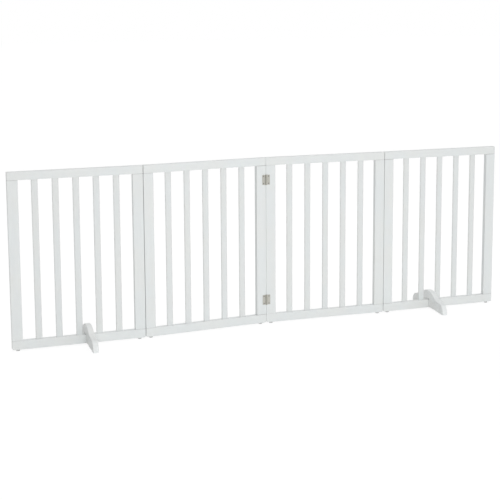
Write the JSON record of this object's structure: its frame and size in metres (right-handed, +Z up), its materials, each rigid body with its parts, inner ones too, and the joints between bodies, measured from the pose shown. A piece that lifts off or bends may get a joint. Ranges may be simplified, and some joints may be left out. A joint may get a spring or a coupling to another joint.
{
  "type": "pet gate",
  "caption": "Free-standing folding pet gate: white slatted wooden panels on surface butt hinges that fold zig-zag, held upright by saddle feet that drop over the bottom rails.",
  "frame": {"origin": "on the floor, under the middle of the gate's length and half way between the feet's front and back toes", "axes": "+X along the gate to the right, -Y the front, +Z up"},
  "size_m": [1.8504, 0.255, 0.61],
  "materials": {
    "painted_frame": "satin white paint on wood",
    "painted_slat": "satin white paint on wood",
    "painted_foot": "satin white paint on wood",
    "bare_dowel": "bare fluted beech, hidden",
    "hinge_steel": "nickel-plated pressed steel",
    "screw_steel": "plated countersunk screws",
    "glide_plastic": "grey moulded glide"
  },
  "bodies": {
    "panel_1": {"panel_1_top_rail": "painted_frame", "panel_1_bottom_rail": "painted_frame", "panel_1_left_stile": "painted_frame", "panel_1_right_stile": "painted_frame", "panel_1_slat_1": "painted_slat", "panel_1_slat_2": "painted_slat", "panel_1_slat_3": "painted_slat", "panel_1_slat_4": "painted_slat", "panel_1_slat_5": "painted_slat", "panel_1_dowels": "bare_dowel", "panel_1_glides": "glide_plastic", "panel_1_hinge_screws": "screw_steel", "hinges_12_left_leaves": "hinge_steel", "hinges_12_pins": "hinge_steel"},
    "panel_2": {"panel_2_top_rail": "painted_frame", "panel_2_bottom_rail": "painted_frame", "panel_2_left_stile": "painted_frame", "panel_2_right_stile": "painted_frame", "panel_2_slat_1": "painted_slat", "panel_2_slat_2": "painted_slat", "panel_2_slat_3": "painted_slat", "panel_2_slat_4": "painted_slat", "panel_2_slat_5": "painted_slat", "panel_2_dowels": "bare_dowel", "panel_2_glides": "glide_plastic", "panel_2_hinge_screws": "screw_steel", "hinges_12_right_leaves": "hinge_steel", "hinges_23_left_leaves": "hinge_steel", "hinges_23_pins": "hinge_steel"},
    "panel_3": {"panel_3_top_rail": "painted_frame", "panel_3_bottom_rail": "painted_frame", "panel_3_left_stile": "painted_frame", "panel_3_right_stile": "painted_frame", "panel_3_slat_1": "painted_slat", "panel_3_slat_2": "painted_slat", "panel_3_slat_3": "painted_slat", "panel_3_slat_4": "painted_slat", "panel_3_slat_5": "painted_slat", "panel_3_dowels": "bare_dowel", "panel_3_glides": "glide_plastic", "panel_3_hinge_screws": "screw_steel", "hinges_23_right_leaves": "hinge_steel", "hinges_34_left_leaves": "hinge_steel", "hinges_34_pins": "hinge_steel"},
    "panel_4": {"panel_4_top_rail": "painted_frame", "panel_4_bottom_rail": "painted_frame", "panel_4_left_stile": "painted_frame", "panel_4_right_stile": "painted_frame", "panel_4_slat_1": "painted_slat", "panel_4_slat_2": "painted_slat", "panel_4_slat_3": "painted_slat", "panel_4_slat_4": "painted_slat", "panel_4_slat_5": "painted_slat", "panel_4_dowels": "bare_dowel", "panel_4_glides": "glide_plastic", "panel_4_hinge_screws": "screw_steel", "hinges_34_right_leaves": "hinge_steel"},
    "left_foot": {"left_foot": "painted_foot"},
    "right_foot": {"right_foot": "painted_foot"}
  },
  "joints": [
    {"name": "fold_12", "type": "hinge", "parent": "panel_2", "child": "panel_1", "pos_m": [-0.4629, 0.00491, 0.31], "axis": [0, 0, -1], "range_deg": [-5.02, 143]},
    {"name": "fold_23", "type": "hinge", "parent": "panel_2", "child": "panel_3", "pos_m": [-0.0003, 0.014, 0.31], "axis": [0, 0, -1], "range_deg": [-6.52, 155]},
    {"name": "fold_34", "type": "hinge", "parent": "panel_3", "child": "panel_4", "pos_m": [0.4628, 0.01862, 0.31], "axis": [0, 0, 1], "range_deg": [-3.63, 147]},
    {"name": "left_foot_lift", "type": "slide", "parent": "panel_1", "child": "left_foot", "axis": [0, 0, 1], "range_m": [0, 0.04]},
    {"name": "right_foot_lift", "type": "slide", "parent": "panel_4", "child": "right_foot", "axis": [0, 0, 1], "range_m": [0, 0.04]}
  ]
}
